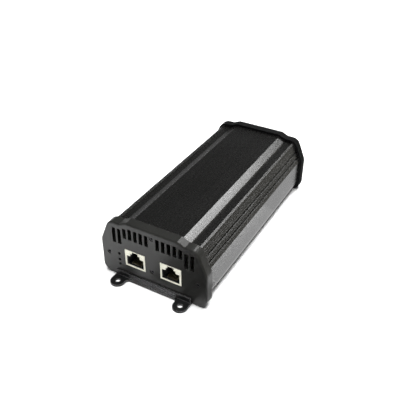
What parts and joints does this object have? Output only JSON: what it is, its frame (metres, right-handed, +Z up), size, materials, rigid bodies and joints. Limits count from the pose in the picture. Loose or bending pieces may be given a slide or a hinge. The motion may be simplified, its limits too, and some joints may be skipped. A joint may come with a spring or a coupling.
{
  "type": "poe injector",
  "caption": "Mains-powered power-over-Ethernet injector: extruded case, vented end bezels, network sockets and indicators in front, eared mounting brackets, internal supply board.",
  "frame": {"origin": "bottom centre of the whole object, on the surface it stands on", "axes": "+X to the right across the front, +Y from the front (network sockets) to the rear (mains inlet), +Z up"},
  "size_m": [0.0828, 0.1932, 0.0478],
  "materials": {
    "shell_anodised": "black anodised extrusion, satin, fine lengthwise die lines",
    "bezel_satin": "dark grey satin, fine powder texture",
    "bezel_black": "near-black matt, fine powder texture",
    "bracket_black": "black satin powder coat",
    "screw_black": "black oxide",
    "jack_cream": "moulded cream plastic",
    "contact_gold": "dull gold-flashed spring wire",
    "black_plastic": "moulded black resin",
    "inlet_black": "moulded black plastic",
    "lens": "dark translucent lens",
    "board_green": "solder-masked board",
    "sheet_film": "insulating film",
    "tinned_metal": "tin or nickel plate",
    "ferrite": "sintered ferrite",
    "winding_tape": "polyester tape over copper",
    "capacitor_sleeve": "shrink sleeve",
    "capacitor_yellow": "moulded box",
    "bare_aluminium": "mill finish",
    "choke_green": "coated ferrite ring",
    "copper": "enamelled copper",
    "fuse_glass": "clear tube",
    "header_green": "moulded plastic",
    "sleeve_red": "soft vinyl",
    "lead_brown": "wire insulation",
    "lead_green": "wire insulation"
  },
  "bodies": {
    "case": {"upper_shell": "shell_anodised", "lower_shell": "shell_anodised", "front_bezel": "bezel_satin", "rear_bezel": "bezel_black", "front_bracket": "bracket_black", "rear_bracket": "bracket_black", "front_bezel_screws": "screw_black", "rear_bezel_screws": "screw_black", "bracket_screws": "screw_black", "jack_left_housing": "jack_cream", "jack_right_housing": "jack_cream", "jack_left_insert": "black_plastic", "jack_right_insert": "black_plastic", "jack_left_leads": "contact_gold", "jack_right_leads": "contact_gold", "indicator_block": "black_plastic", "indicator_lenses": "lens", "circuit_board": "board_green", "insulation_sheet": "sheet_film", "board_anchor": "tinned_metal", "anchor_screw": "screw_black", "data_transformers": "black_plastic", "control_chips": "black_plastic", "transformer_core": "ferrite", "transformer_bobbin": "black_plastic", "transformer_winding": "winding_tape", "bulk_capacitor": "capacitor_sleeve", "output_capacitors": "capacitor_sleeve", "output_inductor": "ferrite", "primary_heat_sink": "bare_aluminium", "power_transistor": "black_plastic", "secondary_heat_sink": "bare_aluminium", "output_rectifier": "black_plastic", "heat_sink_screws": "tinned_metal", "bridge_rectifier": "black_plastic", "filter_capacitor": "capacitor_yellow", "filter_choke_core": "choke_green", "filter_choke_winding": "copper", "choke_base": "black_plastic", "fuse_tube": "fuse_glass", "fuse_caps": "tinned_metal", "fuse_clips": "tinned_metal", "terminal_header": "header_green", "mains_inlet": "inlet_black", "inlet_blades": "tinned_metal", "inlet_screws": "tinned_metal", "inlet_nuts": "tinned_metal", "blade_sleeves": "sleeve_red", "mains_leads": "lead_brown", "earth_lead": "lead_green", "earth_lug": "tinned_metal", "earth_screw": "tinned_metal"},
    "left_contacts": {"jack_left_springs": "contact_gold"},
    "right_contacts": {"jack_right_springs": "contact_gold"}
  },
  "joints": [
    {"name": "left_contacts_flex", "type": "hinge", "parent": "case", "child": "left_contacts", "pos_m": [-0.0135, -0.0833, 0.01452], "axis": [-1, 0, 0], "range_deg": [0, 12], "stiffness_Nm_per_rad": 0.05},
    {"name": "right_contacts_flex", "type": "hinge", "parent": "case", "child": "right_contacts", "pos_m": [0.0145, -0.0833, 0.01452], "axis": [-1, 0, 0], "range_deg": [0, 12], "stiffness_Nm_per_rad": 0.05}
  ]
}
